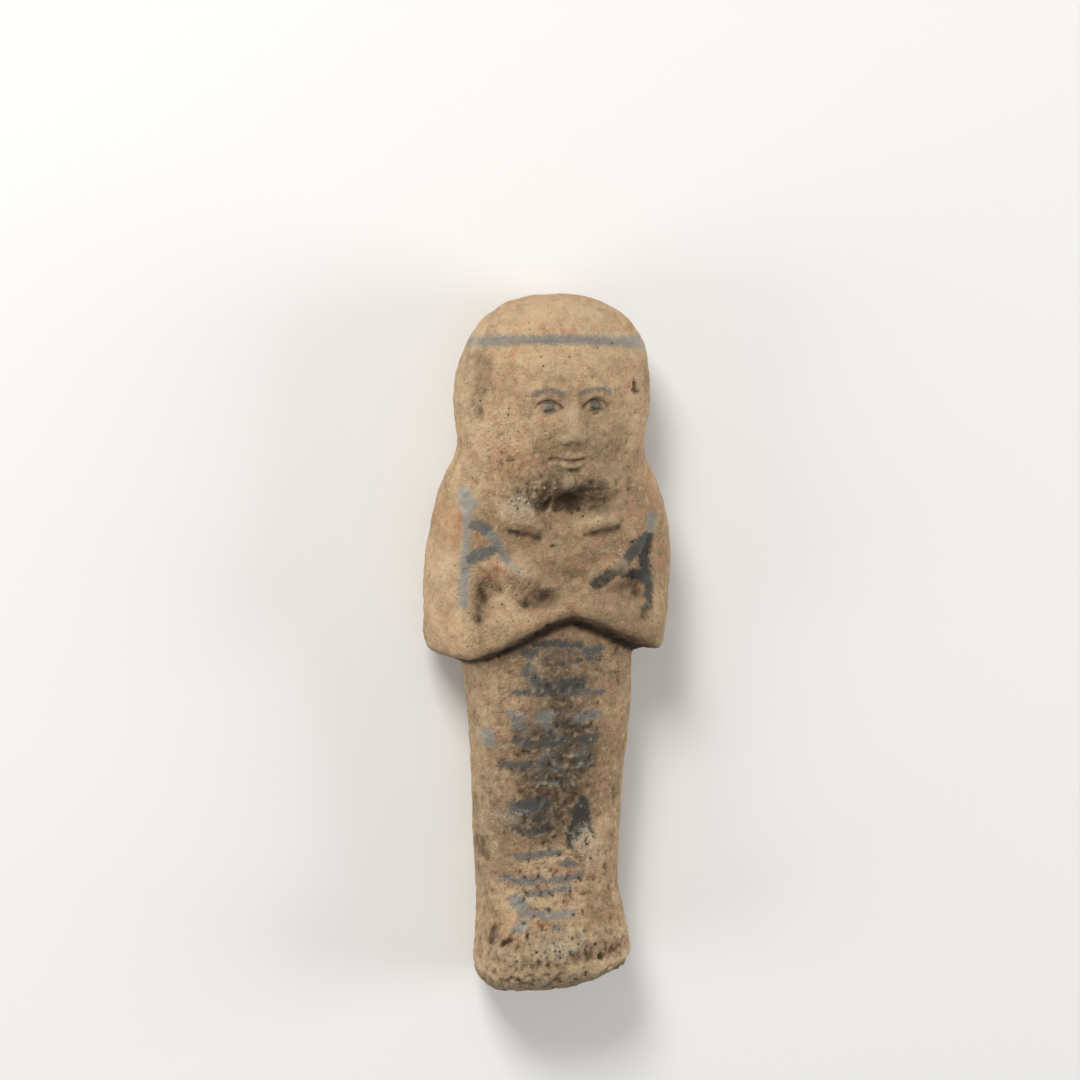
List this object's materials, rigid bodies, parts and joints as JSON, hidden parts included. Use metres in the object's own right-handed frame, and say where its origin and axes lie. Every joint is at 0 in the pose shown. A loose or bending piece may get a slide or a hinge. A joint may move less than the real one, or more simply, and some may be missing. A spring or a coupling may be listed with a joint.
{
  "type": "ushabti figurine",
  "caption": "Small mummy-form tomb figurine of mould-pressed fired clay with crossed arms, wig, painted fillet, hoes and text column, lying on its flat back.",
  "frame": {"origin": "middle of the bounding box at the surface that the figure lies on, under the elbows", "axes": "+Y from the feet towards the crown of the head, +X towards the figure's left, +Z out of the flat back towards the face"},
  "size_m": [0.0342, 0.095, 0.0199],
  "materials": {
    "fired_clay": "matte"
  },
  "bodies": {
    "root": {"ushabti": "fired_clay"}
  },
  "joints": []
}
